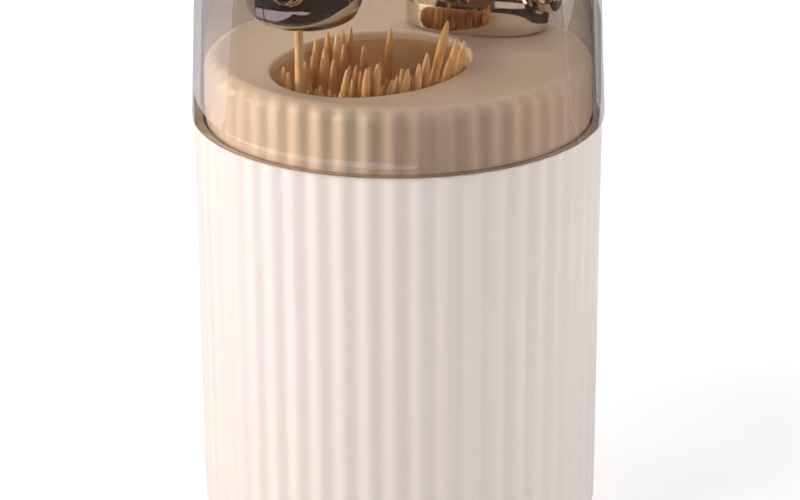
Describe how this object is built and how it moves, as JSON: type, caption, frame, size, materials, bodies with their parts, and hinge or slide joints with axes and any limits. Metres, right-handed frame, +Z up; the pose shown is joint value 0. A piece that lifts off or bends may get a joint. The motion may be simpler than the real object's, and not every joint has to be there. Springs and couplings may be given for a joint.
{
  "type": "toothpick dispenser",
  "caption": "Round fluted toothpick pot with an oval open cup, a sprung bird-shaped lever that lifts out a toothpick, and a smoke-tinted lift-off dust cover.",
  "frame": {"origin": "centre of the footprint on the table", "axes": "+Z up, -Y the way the bird faces, X = 0 the bird's plane of symmetry"},
  "size_m": [0.084, 0.084, 0.159],
  "materials": {
    "pot_plastic": "satin-gloss warm white moulded plastic",
    "cup_plastic": "satin warm white moulded plastic",
    "foot_rubber": "matt rubber",
    "bamboo": "unvarnished bamboo",
    "chrome_plate": "bright plated",
    "bird_chrome": "bright plated",
    "steel": "bright zinc plated",
    "spring_steel": "drawn wire",
    "gold_plate": "polished gold tone",
    "crystal": "faceted clear crystal",
    "grip_silicone": "matt silicone",
    "smoke_clear": "clear smoke-tinted moulded plastic"
  },
  "bodies": {
    "base": {"outer_shell": "pot_plastic", "deck_crown": "pot_plastic", "pick_cup": "cup_plastic", "foot_back_right": "foot_rubber", "foot_back_left": "foot_rubber", "foot_front_left": "foot_rubber", "foot_front_right": "foot_rubber", "toothpick_bundle": "bamboo", "pedestal": "chrome_plate", "cross_pin": "steel", "cross_pin_cap": "chrome_plate", "bird_post": "steel", "pedestal_screw_left": "steel", "pedestal_screw_right": "steel", "pivot_pin": "steel", "return_spring": "spring_steel"},
    "bird": {"bird_shell_left": "bird_chrome", "bird_shell_right": "bird_chrome", "eye_bezel_left": "gold_plate", "eye_bezel_right": "gold_plate", "beak": "gold_plate", "eye_gem_left": "crystal", "eye_gem_right": "crystal", "pick_grip": "grip_silicone", "held_toothpick": "bamboo"},
    "cover": {"dust_cover": "smoke_clear"}
  },
  "joints": [
    {"name": "bird_press", "type": "hinge", "parent": "base", "child": "bird", "pos_m": [0, 0.0225, 0.1277], "axis": [1, 0, 0], "range_deg": [0, 10], "stiffness_Nm_per_rad": 0.12, "springref_deg": -20.05, "deforming": ["return_spring"]},
    {"name": "cover_lift", "type": "slide", "parent": "base", "child": "cover", "axis": [0, 0, 1], "range_m": [0, 0.08]}
  ]
}
